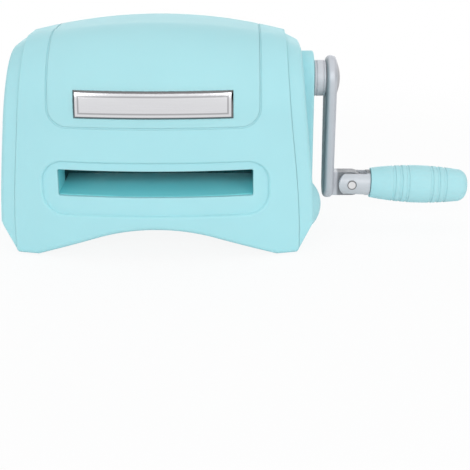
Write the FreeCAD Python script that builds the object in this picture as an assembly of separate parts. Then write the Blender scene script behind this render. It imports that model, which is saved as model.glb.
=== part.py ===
import FreeCAD, Part
import functools
import math
import os

from FreeCAD import Vector

# A hand-cranked die cutting machine: a plastic casing round two geared steel rollers that are fed through a
# wide slot, with a crank on the right whose handle folds and whose grip spins.
# Millimetres, +Z up, +X along the rollers towards the crank, -Y the front. The floor is Z = 0.

# Casing, outer form
body_width = 177.0
body_depth = 114.0
body_height = 126.0
front_bulge_radius = 300.0
top_arch_radius = 330.0
top_edge_radius = 40.0
top_flat = 2.0
casing_wall = 2.6
parting_y = 24.0
side_taper = 7.6
taper_start = 10.0
taper_drop = 11.0
waist_height = 19.4
foot_inset = 10.0
foot_width = 11.5
underside_height = 17.4
underside_radius = 104.0
bottom_edge_radius = 2.4

# Rubber feet under the foot flats
foot_standout = 0.8
foot_pocket_depth = 0.9
foot_pad_width = 8.0
foot_pad_length = 16.0
foot_pad_inset = 5.0
foot_pad_corner = 3.0

# End caps outside the two seams
cap_width = 8.7
cap_wall = 3.0
cap_step = 0.4
cap_drop = 1.8
cap_slope_deg = 25.0
cap_edge_radius = 3.5
seam_gap = 0.08
lip_length = 4.0
lip_wall = 1.6

# Hood panel over the top
hood_width = 115.8
hood_drop = 51.6
hood_corner_radius = 11.0
hood_thickness = 0.9
hood_groove = 1.0
hood_groove_depth = 0.35

# Bare plate on the hood
plate_width = 85.6
plate_height = 14.9
plate_drop = 30.8
plate_thickness = 1.2
plate_bevel = 0.9

# Feed slot and the dished recess round it
board_width = 101.6
board_side_clearance = 2.9
slot_lip = 35.9
slot_height = 15.0
slot_corner_radius = 1.0
recess_width = 124.6
recess_bottom = 25.5
recess_height = 30.2
recess_corner_radius = 12.0
recess_depth = 2.0
recess_rim_radius = 1.2
recess_floor_radius = 0.7

# Feed throats behind the slots
throat_wall = 2.2
throat_end = 26.0
throat_ceiling_drop = 1.4
platform_gap = 3.0
platform_drop = 0.6
rib_width = 3.0
rib_length = 12.0
rib_spacing = 70.0

# Rollers and gears
nip_floor = 38.5
nip_gap = 7.5
sync_module = 1.5
sync_teeth = 17
drive_teeth = 37
pinion_teeth = 12
pressure_angle_deg = 25.0
tooth_thinning = 0.3
dedendum_factor = 1.25
flank_points = 5
tooth_above = 90.0
sync_gear_width = 5.0
drive_gear_width = 5.0
pinion_width = 6.4
drive_hub_radius = 7.0
gear_side_gap = 0.5
journal_radius = 4.0
journal_end = 1.0
shaft_flat = 0.8

# Fits, and how far a cutting shape reaches past the face it cuts
running_fit = 0.05
slip_fit = 0.05
seat_gap = 0.1
side_play = 0.3
cut_past = 1.0
touch = 0.02

# Frame plates, tie rods and bushes
plate_gap = 3.0
frame_thickness = 3.0
frame_depth = 64.0
frame_foot_height = 10.0
frame_head_radius = 13.0
flange_length = 13.0
tie_rod_radius = 3.6
lower_rod_y = 24.0
upper_rod_y = 26.0
rod_edge = 8.0
gear_boss_gap = 1.6
bush_wall = 2.5
bush_flange = 1.0
bush_flange_radius = 8.0
roller_end_gap = 0.6

# Spring clips
clip_thickness = 0.8
clip_outer_radius = 6.0
clip_groove_depth = 0.6
clip_mouth = 5.0

# Base plate
base_thickness = 1.2
base_recess = 0.4
base_opening_half = 62.0
base_edge_gap = 0.3
base_pad_radius = 6.0
base_pad_x = 52.0
base_pad_y = 18.0

# Screws
screw_radius = 2.0
screw_head_radius = 3.6
screw_head_height = 2.6
screw_clearance = 0.2
cap_boss_radius = 5.2
cap_head_recess = 5.0
thread_length = 8.0
base_seat = 2.0
small_screw_radius = 1.3
small_head_radius = 2.5
small_head_height = 1.4
head_round_share = 0.4
cross_arm_share = 0.6
cross_blade_share = 0.12
tip_gap = 1.0

# Crank housing on the right end cap
housing_face = 88.7
housing_radius = 15.6
housing_bottom = 33.0
housing_corner_radius = 6.0
housing_depth = 7.9
housing_wall = 2.4
housing_edge_radius = 1.2
housing_boss_radius = 3.0
flange_wall = 1.0
shaft_room = 1.0
housing_screw_inset = 4.4
housing_screw_rise = 8.0

# Dome on the right side
dome_radius = 12.3
dome_height = 5.0
dome_wall = 1.6
dome_stem_wall = 1.2

# Crank, whose axis lies crank_rise above the middle between the upper roller's axis and the top
crank_rise = 1.25
crank_shaft_radius = 4.0
shaft_collar_radius = 5.4
hub_radius = 10.3
hub_length = 6.5
hub_gap = 0.6
hub_ring_depth = 0.35
hub_ring_width = 0.5
crank_radius = 62.75
arm_thickness = 6.2
arm_head_radius = 13.0
arm_tail_radius = 9.2
arm_edge_radius = 2.6
arm_pocket_depth = 2.6
crank_cap_radius = 10.4
crank_cap_height = 2.3
crank_cap_seat = 0.6

# Folding handle
pin_reach = 11.0
pin_radius = 2.7
pin_recess = 0.1
fork_radius = 7.7
fork_neck = 11.0
fork_web = 2.4
lug_thickness = 8.0
lug_radius = 7.1
lug_side_gap = 0.3
spigot_radius = 5.0
spigot_length = 14.0
handle_droop_deg = 1.9

# Grip
grip_length = 57.9
grip_end_radius = 8.8
grip_radius = 11.2
grip_tip_radius = 9.6
grip_widest = 27.0
grip_tip_round = 6.0
grip_tip_flat = 3.4
grip_gap = 0.3
grip_fit = 0.08
grip_groove_depth = 0.3
grip_groove_width = 1.5
grip_groove_pitch = 4.0
first_groove = 13.0
second_groove = 35.2
grooves_per_group = 3
spindle_radius = 2.6
spindle_head_radius = 4.0
spindle_head_length = 3.0
spindle_end_wall = 7.0

# Worked out from the sizes above
half_width = body_width / 2
half_depth = body_depth / 2
far = body_width
deep = body_depth
high = body_height + top_edge_radius
taper_end = body_height - taper_drop
slot_half = board_width / 2 + board_side_clearance
slot_top = slot_lip + slot_height
roller_radius = (sync_module * sync_teeth - nip_gap) / 2
lower_axis = nip_floor - roller_radius
upper_axis = nip_floor + nip_gap + roller_radius
crank_axis = (upper_axis + body_height) / 2 + crank_rise
drive_module = 2 * (crank_axis - upper_axis) / (drive_teeth + pinion_teeth)
drive_tip_radius = drive_module * (drive_teeth / 2 + 1)
handle_axis = crank_axis - crank_radius
frame_inner = slot_half + throat_wall + plate_gap
frame_outer = frame_inner + frame_thickness
bush_radius = journal_radius + running_fit + bush_wall
roller_half = frame_inner - roller_end_gap
gear_start = frame_outer + bush_flange + side_play
sync_end = gear_start + sync_gear_width
lower_journal_end = sync_end + side_play + clip_thickness + journal_end
drive_start = lower_journal_end + gear_side_gap
drive_end = drive_start + drive_gear_width
pinion_start = drive_start - (pinion_width - drive_gear_width) / 2
pinion_end = pinion_start + pinion_width
housing_seat = housing_face - housing_depth
hub_start = housing_face + hub_gap
arm_start = hub_start + hub_length
arm_end = arm_start + arm_thickness
pin_x = arm_end + pin_reach
fork_end = pin_x + fork_neck
grip_start = fork_end + grip_gap
grip_tip = grip_start + grip_length
throat_floor = slot_lip - throat_wall
platform_end = roller_radius + platform_gap
platform_top = nip_floor - platform_drop
hood_bottom = body_height - hood_drop
plate_top = body_height - plate_drop
plate_bottom = plate_top - plate_height
foot_outer = half_width - foot_inset
foot_inner = foot_outer - foot_width
housing_screw_y = housing_radius - housing_screw_inset
lower_rod_z = underside_height + base_recess + base_thickness + side_play + tie_rod_radius
rod_off_gear = drive_tip_radius + gear_boss_gap + cap_boss_radius
upper_rod_z = upper_axis + math.sqrt(rod_off_gear ** 2 - upper_rod_y ** 2)
frame_top = upper_rod_z + rod_edge
dome_y = -lower_rod_y
crank_bush_radius = crank_shaft_radius + running_fit + bush_wall
spindle_tip = grip_tip - spindle_end_wall
rod_places = [
    (-lower_rod_y, lower_rod_z),
    (lower_rod_y, lower_rod_z),
    (-upper_rod_y, upper_rod_z),
    (upper_rod_y, upper_rod_z),
]

# The whole machine, crank included, stands centred on X = 0.
centre_shift = (half_width - grip_tip) / 2


# Simple shapes
def box(x0, x1, y0, y1, z0, z1):
    return Part.makeBox(x1 - x0, y1 - y0, z1 - z0, Vector(x0, y0, z0))


def rod_x(radius, x0, x1, y, z):
    return Part.makeCylinder(radius, x1 - x0, Vector(x0, y, z), Vector(1, 0, 0))


def rod_y(radius, y0, y1, x, z):
    return Part.makeCylinder(radius, y1 - y0, Vector(x, y0, z), Vector(0, 1, 0))


def rod_z(radius, z0, z1, x, y):
    return Part.makeCylinder(radius, z1 - z0, Vector(x, y, z0), Vector(0, 0, 1))


def tube_x(outer, inner, x0, x1, y, z):
    return rod_x(outer, x0, x1, y, z).cut(rod_x(inner, x0, x1, y, z))


def line(start, end):
    return Part.LineSegment(start, end).toShape()


def arc(start, middle, end):
    return Part.Arc(start, middle, end).toShape()


def prism(edges, push):
    return Part.Face(Part.Wire(edges)).extrude(push)


def outline(points):
    return [line(a, b) for a, b in zip(points, points[1:] + points[:1])]


def prism_xz(points, y0, y1):
    corners = [Vector(x, y0, z) for x, z in points]
    return prism(outline(corners), Vector(0, y1 - y0, 0))


def prism_yz(points, x0, x1):
    corners = [Vector(x0, y, z) for y, z in points]
    return prism(outline(corners), Vector(x1 - x0, 0, 0))


def straight_edges(shape, direction):
    found = []
    for edge in shape.Edges:
        if not isinstance(edge.Curve, Part.Line):
            continue
        if edge.tangentAt(edge.FirstParameter).cross(direction).Length < touch:
            found.append(edge)
    return found


def midpoint(edge):
    return edge.valueAt((edge.FirstParameter + edge.LastParameter) / 2)


def rounded_box_y(x0, x1, y0, y1, z0, z1, radius):
    block = box(x0, x1, y0, y1, z0, z1)
    return block.makeFillet(radius, straight_edges(block, Vector(0, 1, 0)))


def joined(shapes):
    first, *rest = shapes
    return first.fuse(rest).removeSplitter() if rest else first


def mirrored_x(shape):
    return shape.mirror(Vector(0, 0, 0), Vector(1, 0, 0))


def half_turn(shape):
    turned = shape.copy()
    turned.rotate(Vector(0, 0, 0), Vector(0, 0, 1), 180)
    return turned


def on_both_sides(places):
    return [(side * x, y) for side in (-1, 1) for x, y in places]


# Surfaces of the casing
def bulge_sag(x, inset):
    radius = front_bulge_radius - inset
    return radius - math.sqrt(radius ** 2 - x ** 2)


def front_y(x, inset):
    """How far the casing's front stands before the roller plane at x."""
    return half_depth - inset - bulge_sag(x, inset)


def arch_top(x):
    return body_height - top_arch_radius + math.sqrt(top_arch_radius ** 2 - x ** 2)


def side_x(z, inset):
    """How far the tapered side stands from the slot's centre at the height z."""
    share = min(max((z - taper_start) / (taper_end - taper_start), 0), 1)
    return half_width - inset - side_taper * share ** 2 * (3 - 2 * share)


def bulged_block(inset):
    """A tall block with the casing's plan, moved inwards by inset: bulged front and rear, straight ends."""
    reach = half_width
    low = -waist_height
    depth = half_depth - inset
    end = front_y(reach, inset)
    front = arc(Vector(-reach, -end, low), Vector(0, -depth, low), Vector(reach, -end, low))
    rear = arc(Vector(reach, end, low), Vector(0, depth, low), Vector(-reach, end, low))
    right = line(Vector(reach, -end, low), Vector(reach, end, low))
    left = line(Vector(-reach, end, low), Vector(-reach, -end, low))
    return prism([front, right, rear, left], Vector(0, 0, high))


def under_arch(inset):
    """Everything below the arched top, moved down by inset."""
    reach = half_width
    low = -waist_height
    radius = top_arch_radius - inset
    middle = body_height - top_arch_radius
    drop = middle + math.sqrt(radius ** 2 - reach ** 2)
    edges = [
        arc(Vector(-reach, -deep, drop), Vector(0, -deep, middle + radius), Vector(reach, -deep, drop)),
        line(Vector(reach, -deep, drop), Vector(reach, -deep, low)),
        line(Vector(reach, -deep, low), Vector(-reach, -deep, low)),
        line(Vector(-reach, -deep, low), Vector(-reach, -deep, drop)),
    ]
    return prism(edges, Vector(0, 2 * deep, 0))


def rounded_top(block, inset):
    """Rounds the block's two long top edges, the front one and the rear one."""
    edges = [e for e in block.Edges if e.BoundBox.XLength > cap_width and e.BoundBox.ZMin > 0]
    rounding = min(top_edge_radius, front_y(half_width, 0) - top_flat) - inset
    return block.makeFillet(rounding, edges)


def loaf(inset):
    """The casing's main form, moved inwards by inset: bulged front and rear under an arched, rounded top."""
    return rounded_top(bulged_block(inset).common(under_arch(inset)), inset)


def cap_loaf(inset):
    """The right end cap's main form, moved inwards by inset: the casing's plan under a rounded slope."""
    end = box(frame_inner, far, -deep, deep, -waist_height, high)
    return rounded_top(bulged_block(inset).common(top_wedge(inset)).common(end), inset)


def between_sides(inset):
    """Everything between the two tapered sides, moved inwards by inset."""
    wide = half_width - inset
    narrow = wide - side_taper
    low = -waist_height
    third = (taper_end - taper_start) / 3
    poles = [
        (wide, taper_start),
        (wide, taper_start + third),
        (narrow, taper_end - third),
        (narrow, taper_end),
    ]
    edges = [line(Vector(-wide, -deep, low), Vector(wide, -deep, low))]
    for side in (-1, 1):
        curve = Part.BezierCurve()
        curve.setPoles([Vector(side * x, -deep, z) for x, z in poles])
        edges.append(line(Vector(side * wide, -deep, low), Vector(side * wide, -deep, taper_start)))
        edges.append(curve.toShape())
        edges.append(line(Vector(side * narrow, -deep, taper_end), Vector(side * narrow, -deep, high)))
    edges.append(line(Vector(-narrow, -deep, high), Vector(narrow, -deep, high)))
    return prism(Part.__sortEdges__(edges), Vector(0, 2 * deep, 0))


def foot_wedge(inset):
    """Everything inside the two foot chamfers, moved inwards by inset."""
    lean = foot_inset / (waist_height - foot_standout)
    shift = inset * math.hypot(1, lean)

    def edge_x(z):
        return foot_outer + (z - foot_standout) * lean - shift

    low = -waist_height
    narrow = edge_x(low)
    wide = edge_x(high)
    return prism_xz([(-narrow, low), (narrow, low), (wide, high), (-wide, high)], -deep, deep)


def top_wedge(inset):
    """Everything under the end caps' two top slopes, moved down by inset."""
    slope = math.tan(math.radians(cap_slope_deg))
    seam = side_x(body_height, cap_width)
    ridge = arch_top(seam) - cap_drop + seam * slope - inset * math.hypot(1, slope)
    eave = ridge - far * slope
    low = min(eave, 0) - waist_height
    return prism_xz([(0, ridge), (far, eave), (far, low), (-far, low), (-far, eave)], -deep, deep)


def underside(lift):
    """Everything below the arched underside, raised by lift: straight slopes from the feet into one arc."""
    middle = underside_height - underside_radius
    reach = foot_inner
    rise = foot_standout - middle
    toward = math.atan2(rise, reach)
    spread = math.acos(underside_radius / math.hypot(reach, rise))
    angle = toward + spread
    touch_x = underside_radius * math.cos(angle)
    touch_z = middle + underside_radius * math.sin(angle)
    low = -waist_height
    points = [
        Vector(-reach, -deep, foot_standout + lift),
        Vector(-touch_x, -deep, touch_z + lift),
        Vector(0, -deep, underside_height + lift),
        Vector(touch_x, -deep, touch_z + lift),
        Vector(reach, -deep, foot_standout + lift),
    ]
    corner_right = Vector(reach, -deep, low)
    corner_left = Vector(-reach, -deep, low)
    edges = [
        line(points[0], points[1]),
        arc(points[1], points[2], points[3]),
        line(points[3], points[4]),
        line(points[4], corner_right),
        line(corner_right, corner_left),
        line(corner_left, points[0]),
    ]
    return prism(edges, Vector(0, 2 * deep, 0))


def lies_on_front(edge, inset):
    """True for an edge that runs along the front or the rear of the form moved inwards by inset."""
    for point in edge.discretize(7):
        if abs(abs(point.y) - front_y(point.x, inset)) > touch:
            return False
    return True


# Casing pieces
def recess_prism(grow):
    half = recess_width / 2 + grow
    low = recess_bottom - grow
    top = recess_bottom + recess_height + grow
    return rounded_box_y(-half, half, -deep, 0, low, top, recess_corner_radius + grow)


def within_recess(edge):
    bound = edge.BoundBox
    half = recess_width / 2 + touch
    low = recess_bottom - touch
    top = recess_bottom + recess_height + touch
    return bound.XMax < half and bound.XMin > -half and bound.ZMin > low and bound.ZMax < top


def hood_prism(shrink):
    half = hood_width / 2 - shrink
    block = box(-half, half, -deep, deep, hood_bottom + shrink, high)
    edges = [e for e in straight_edges(block, Vector(0, 1, 0)) if e.BoundBox.ZMax < body_height]
    return block.makeFillet(hood_corner_radius - shrink, edges)


def slot_prism():
    return rounded_box_y(-slot_half, slot_half, -deep, 0, slot_lip, slot_top, slot_corner_radius)


def foot_pads(clearance):
    """The four pad shapes under the foot flats."""
    pads = []
    half_x = foot_pad_width / 2 + clearance
    half_y = foot_pad_length / 2 + clearance
    middle = (foot_inner + foot_outer) / 2
    reach = front_y(middle, 0) - foot_pad_inset - foot_pad_length / 2
    for x, y in on_both_sides([(middle, -reach), (middle, reach)]):
        pad = box(x - half_x, x + half_x, y - half_y, y + half_y, 0, foot_standout + foot_pocket_depth)
        pads.append(pad.makeFillet(foot_pad_corner + clearance, straight_edges(pad, Vector(0, 0, 1))))
    return pads


def shell_block():
    block = loaf(0).common(between_sides(cap_width)).common(foot_wedge(0))
    block = block.cut(box(-far, far, -deep, deep, -high, foot_standout)).cut(underside(0))
    lower = []
    for edge in block.Edges:
        bound = edge.BoundBox
        below = bound.ZMax < underside_height + touch
        if below and bound.XLength > foot_width / 2 and lies_on_front(edge, 0):
            lower.append(edge)
    return block.makeFillet(bottom_edge_radius, lower)


def dished_block():
    """The shell's outer form with the front and rear recesses dished in, before it is hollowed."""
    block = shell_block()
    dish = recess_prism(0).cut(loaf(recess_depth))
    block = block.cut([dish, half_turn(dish)])
    rims = [e for e in block.Edges if within_recess(e) and lies_on_front(e, 0)]
    block = block.makeFillet(recess_rim_radius, rims)
    floors = [e for e in block.Edges if within_recess(e) and lies_on_front(e, recess_depth)]
    return block.makeFillet(recess_floor_radius, floors)


def shell_cavity():
    """The room inside the shell: open at the ends and below, walled behind the recesses and over the feet."""
    pan = recess_prism(casing_wall).cut(loaf(recess_depth + casing_wall))
    floor_top = foot_standout + casing_wall
    floors = [
        box(base_opening_half, far, -deep, deep, -high, floor_top),
        box(-far, -base_opening_half, -deep, deep, -high, floor_top),
    ]
    return loaf(casing_wall).cut([pan, half_turn(pan)] + floors)


@functools.cache
def casing():
    """The whole casing between the end caps, before it is parted into a front and a rear moulding."""
    shell = dished_block().cut(shell_cavity())
    shell = shell.cut([slot_prism(), half_turn(slot_prism())])
    groove = hood_prism(0).cut(loaf(hood_groove_depth))
    pocket = hood_prism(hood_groove - seat_gap).cut(loaf(hood_thickness + seat_gap))
    shell = shell.cut([groove, pocket])
    return shell.cut(foot_pads(seat_gap))


def main_shell():
    return casing().common(box(-far, far, -deep, parting_y, 0, high))


def rear_shell():
    return casing().common(box(-far, far, parting_y + seam_gap, deep, 0, high))


def hood_panel():
    return loaf(0).cut(loaf(hood_thickness)).common(hood_prism(hood_groove))


def nameplate():
    half = plate_width / 2
    outer = loaf(-plate_thickness)
    plate = outer.cut(loaf(-seat_gap)).common(box(-half, half, -deep, 0, plate_bottom, plate_top))
    rim = []
    for edge in plate.Edges:
        middle = midpoint(edge)
        off_sides = abs(abs(middle.x) - half)
        off_ends = min(abs(middle.z - plate_bottom), abs(middle.z - plate_top))
        off_face = outer.Shells[0].distToShape(Part.Vertex(middle))[0]
        if min(off_sides, off_ends) < touch and off_face < touch:
            rim.append(edge)
    return plate.makeChamfer(plate_bevel, rim)


def cap_block():
    """The right end cap's outer form, before it is hollowed."""
    block = cap_loaf(cap_step).common(between_sides(0)).common(foot_wedge(0))
    block = block.cut(between_sides(cap_width - seam_gap))
    return block.common(box(0, far, -deep, deep, foot_standout, high))


def rounded_cap_block():
    block = cap_block()
    seam = between_sides(cap_width - seam_gap)
    edges = []
    for edge in block.Edges:
        middle = midpoint(edge)
        near_seam = seam.distToShape(Part.Vertex(middle))[0] < touch
        if not near_seam and middle.z > waist_height + touch:
            edges.append(edge)
    return block.makeFillet(cap_edge_radius, edges)


def cap_shell(outer):
    """The cap's walls, with a lip that reaches into the shell's open end."""
    inner = cap_loaf(cap_step + cap_wall).common(between_sides(cap_wall)).common(foot_wedge(cap_wall))
    shell = outer.cut(inner)
    lip_start = casing_wall + 2 * seat_gap
    lip = loaf(lip_start).cut(loaf(lip_start + lip_wall))
    lip = lip.common(between_sides(cap_width - lip_length / 2)).cut(between_sides(cap_width + lip_length))
    lip = lip.common(cap_loaf(cap_step + cap_wall / 2)).common(foot_wedge(cap_wall / 2))
    floor_top = foot_standout + casing_wall + side_play
    lip = lip.common(box(0, far, -deep, deep, floor_top, high))
    return shell.fuse(lip)


def cap_screw_seat(z):
    """Where the underside of a cap screw's head sits, at the height z."""
    return side_x(z, 0) - cap_head_recess


def end_cap(extra, holes):
    """A right end cap with its screw bosses, the extra pieces joined in and the holes cut out."""
    outer = rounded_cap_block()
    bosses = [rod_x(cap_boss_radius, frame_outer + seat_gap, half_width, y, z) for y, z in rod_places]
    cap = cap_shell(outer).fuse([piece.common(outer) for piece in bosses + extra])
    cutters = list(holes)
    for y, z in rod_places:
        seat = cap_screw_seat(z)
        cutters.append(rod_x(screw_radius + screw_clearance, frame_inner, seat + cut_past, y, z))
        cutters.append(rod_x(screw_head_radius + screw_clearance, seat, far, y, z))
    return cap.cut(cutters).removeSplitter()


def left_end_cap():
    return mirrored_x(end_cap([], []))


def housing_prism(grow, x0, x1):
    radius = housing_radius + grow
    bottom = housing_bottom - grow
    block = box(x0, x1, -radius, radius, bottom, crank_axis)
    low = [e for e in straight_edges(block, Vector(1, 0, 0)) if e.BoundBox.ZMax < crank_axis - touch]
    block = block.makeFillet(housing_corner_radius + grow, low)
    return block.fuse(rod_x(radius, x0, x1, 0, crank_axis)).removeSplitter()


def housing_screw_places():
    heights = (housing_bottom + housing_screw_rise, crank_axis)
    return [(y, z) for z in heights for y in (-housing_screw_y, housing_screw_y)]


def right_end_cap():
    seat_back = housing_seat - housing_wall
    pan = housing_prism(cap_wall, seat_back, far)
    hole_start = seat_back - cut_past
    hole_end = housing_seat + cut_past
    holes = [housing_prism(seat_gap, housing_seat, far)]
    holes.append(rod_x(crank_shaft_radius + shaft_room, hole_start, hole_end, 0, crank_axis))
    for y, z in housing_screw_places():
        holes.append(rod_x(small_screw_radius + screw_clearance, hole_start, hole_end, y, z))
    return end_cap([pan], holes)


def crank_housing():
    block = housing_prism(0, housing_seat + seat_gap, housing_face)
    rim = [e for e in block.Edges if e.BoundBox.XMin > housing_face - touch]
    block = block.makeFillet(housing_edge_radius, rim)
    inner_face = housing_face - housing_wall
    hollow = housing_prism(-housing_wall, housing_seat, inner_face)
    hollow = hollow.cut(rod_x(bush_flange_radius + flange_wall, housing_seat, inner_face, 0, crank_axis))
    for y, z in housing_screw_places():
        hollow = hollow.cut(rod_x(housing_boss_radius, housing_seat, inner_face, y, z))
    block = block.cut(hollow)
    for y, z in housing_screw_places():
        block = block.cut(rod_x(small_screw_radius + slip_fit, housing_seat, inner_face + slip_fit, y, z))
    flange_end = housing_seat + bush_flange + side_play
    block = block.cut(rod_x(bush_flange_radius + slip_fit, housing_seat, flange_end, 0, crank_axis))
    return block.cut(rod_x(crank_bush_radius + slip_fit, housing_seat, far, 0, crank_axis)).removeSplitter()


def side_dome():
    apex = side_x(lower_rod_z, 0) + dome_height
    ball_radius = (dome_radius ** 2 + dome_height ** 2) / (2 * dome_height)
    middle = Vector(apex - ball_radius, dome_y, lower_rod_z)
    outer = Part.makeSphere(ball_radius, middle)
    outer = outer.common(rod_x(dome_radius, frame_outer, far, dome_y, lower_rod_z))
    inner = Part.makeSphere(ball_radius - dome_wall, middle)
    inner = inner.common(rod_x(dome_radius - dome_wall, frame_outer, far, dome_y, lower_rod_z))
    seat = between_sides(-seat_gap).common(foot_wedge(-seat_gap))
    cover = outer.cut(inner).cut(seat)
    stem_radius = screw_head_radius + screw_clearance - slip_fit
    stem_start = cap_screw_seat(lower_rod_z) + screw_head_height + side_play
    stem = tube_x(stem_radius, stem_radius - dome_stem_wall, stem_start, apex, dome_y, lower_rod_z)
    return cover.fuse(stem.common(outer)).removeSplitter()


# Feed throats
def front_feed_throat():
    start = -half_depth
    half_out = slot_half + throat_wall
    ceiling = slot_top + throat_wall
    outer = box(-half_out, half_out, start, -throat_end, throat_floor, ceiling)
    tongue = prism_yz(
        [
            (-throat_end, throat_floor),
            (-platform_end, platform_top - throat_wall),
            (-platform_end, platform_top),
            (-throat_end, platform_top),
        ],
        -slot_half,
        slot_half,
    )
    funnel = prism_yz(
        [
            (start, slot_lip),
            (-platform_end, platform_top),
            (-platform_end, slot_top - throat_ceiling_drop),
            (-throat_end, slot_top - throat_ceiling_drop),
            (start, slot_top),
        ],
        -slot_half,
        slot_half,
    )
    throat = outer.fuse(tongue).cut(funnel)
    for x in (-rib_spacing / 2, rib_spacing / 2):
        rib = box(
            x - rib_width / 2,
            x + rib_width / 2,
            -lower_rod_y - rib_length / 2,
            -lower_rod_y + rib_length / 2,
            lower_rod_z,
            throat_floor + throat_wall / 2,
        )
        throat = throat.fuse(rib)
    throat = throat.cut(rod_x(tie_rod_radius + seat_gap, -far, far, -lower_rod_y, lower_rod_z))
    return throat.common(loaf(recess_depth + casing_wall + seat_gap)).removeSplitter()


# Frame
def frame_plate(holes, head):
    plate = box(frame_inner, frame_outer, -frame_depth / 2, frame_depth / 2, frame_foot_height, frame_top)
    flange_top = frame_foot_height + frame_thickness
    flange = box(
        frame_inner - flange_length,
        frame_outer,
        -frame_depth / 2,
        frame_depth / 2,
        frame_foot_height,
        flange_top,
    )
    plate = joined([plate, flange] + head)
    screw_holes = [(screw_radius + screw_clearance, y, z) for y, z in rod_places]
    for radius, y, z in holes + screw_holes:
        plate = plate.cut(rod_x(radius, frame_inner - cut_past, frame_outer + cut_past, y, z))
    for y in (-base_pad_y, base_pad_y):
        plate = plate.cut(rod_z(screw_radius + slip_fit, 0, flange_top, base_pad_x, y))
    return plate


def roller_holes():
    return [(bush_radius + slip_fit, 0, z) for z in (lower_axis, upper_axis)]


def left_frame_plate():
    return mirrored_x(frame_plate(roller_holes(), []))


def right_frame_plate():
    head = [
        rod_x(frame_head_radius, frame_inner, frame_outer, 0, crank_axis),
        box(frame_inner, frame_outer, -frame_head_radius, frame_head_radius, frame_foot_height, crank_axis),
    ]
    return frame_plate(roller_holes() + [(crank_bush_radius + slip_fit, 0, crank_axis)], head)


def tie_rods():
    rods = []
    for y, z in rod_places:
        rod = rod_x(tie_rod_radius, -frame_inner, frame_inner, y, z)
        for x0, x1 in ((-far, thread_length - frame_inner), (frame_inner - thread_length, far)):
            rod = rod.cut(rod_x(screw_radius + slip_fit, x0, x1, y, z))
        rods.append(rod)
    return Part.makeCompound(rods)


def flanged_bush(outer, inner, x0, x1, flange_at, z):
    """A bush from x0 to x1 whose flange starts at flange_at."""
    flange_end = flange_at + bush_flange
    bush = rod_x(outer, x0, x1, 0, z).fuse(rod_x(bush_flange_radius, flange_at, flange_end, 0, z))
    return bush.cut(rod_x(inner, x0 - cut_past, max(x1, flange_end) + cut_past, 0, z)).removeSplitter()


def roller_bushes():
    bore = journal_radius + running_fit
    right = []
    for z in (lower_axis, upper_axis):
        right.append(flanged_bush(bush_radius, bore, frame_inner, frame_outer, frame_outer, z))
    return Part.makeCompound(right + [mirrored_x(bush) for bush in right])


def crank_bushes():
    bore = crank_shaft_radius + running_fit
    inner = flanged_bush(crank_bush_radius, bore, frame_inner, frame_outer, frame_outer, crank_axis)
    start = housing_seat + side_play
    outer = flanged_bush(crank_bush_radius, bore, start, housing_face, start, crank_axis)
    return Part.makeCompound([inner, outer])


def base_plate():
    slab = underside(base_recess + base_thickness).cut(underside(base_recess))
    reach = base_opening_half - base_edge_gap
    block = loaf(casing_wall + base_edge_gap).common(box(-reach, reach, -deep, deep, 0, high))
    plate = slab.common(block)
    room = block.common(box(-reach, reach, -deep, deep, 0, frame_foot_height)).cut(underside(base_recess))
    for x, y in on_both_sides([(base_pad_x, -base_pad_y), (base_pad_x, base_pad_y)]):
        plate = plate.fuse(rod_z(base_pad_radius, 0, frame_foot_height, x, y).common(room))
    for x, y in on_both_sides([(base_pad_x, -base_pad_y), (base_pad_x, base_pad_y)]):
        plate = plate.cut(rod_z(screw_radius + screw_clearance, 0, high, x, y))
        plate = plate.cut(rod_z(screw_head_radius + screw_clearance, 0, frame_foot_height - base_seat, x, y))
    return plate.removeSplitter()


def rubber_feet():
    return Part.makeCompound(foot_pads(0))


# Screws
def cross_recess(radius, depth, x, y, z):
    arm = radius * cross_arm_share
    thin = radius * cross_blade_share
    wide = box(x - depth, x, y - arm, y + arm, z - thin, z + thin)
    tall = box(x - depth, x, y - thin, y + thin, z - arm, z + arm)
    return wide.fuse(tall)


def screw_x(radius, head_radius, head_height, tip, seat, y, z):
    """A screw along X whose head's underside is at seat and whose tip points towards -X."""
    head = rod_x(head_radius, seat, seat + head_height, y, z)
    rims = [e for e in head.Edges if e.BoundBox.XMin > seat + head_height / 2]
    head = head.makeFillet(head_height * head_round_share, rims)
    head = head.cut(cross_recess(head_radius, head_height / 2, seat + head_height, y, z))
    return head.fuse(rod_x(radius, tip, seat, y, z)).removeSplitter()


def cap_screws():
    tip = frame_inner - thread_length + tip_gap
    right = []
    for y, z in rod_places:
        seat = cap_screw_seat(z)
        right.append(screw_x(screw_radius, screw_head_radius, screw_head_height, tip, seat, y, z))
    return Part.makeCompound(right + [mirrored_x(screw) for screw in right])


def base_screws():
    screws = []
    seat = frame_foot_height - base_seat
    tip = frame_foot_height + frame_thickness
    for x, y in on_both_sides([(base_pad_x, -base_pad_y), (base_pad_x, base_pad_y)]):
        head = rod_z(screw_head_radius, seat - screw_head_height, seat, x, y)
        screws.append(head.fuse(rod_z(screw_radius, seat, tip, x, y)).removeSplitter())
    return Part.makeCompound(screws)


def housing_screws():
    screws = []
    seat = housing_seat - housing_wall
    tip = housing_face - housing_wall
    for y, z in housing_screw_places():
        head = rod_x(small_head_radius, seat - small_head_height, seat, y, z)
        screws.append(head.fuse(rod_x(small_screw_radius, seat, tip, y, z)).removeSplitter())
    return Part.makeCompound(screws)


# Gears
def involute_point(base, radius):
    """The angle that an involute from the base circle has turned when it reaches radius."""
    roll = math.sqrt(max(radius ** 2 - base ** 2, 0)) / base
    return roll - math.atan(roll)


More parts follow.
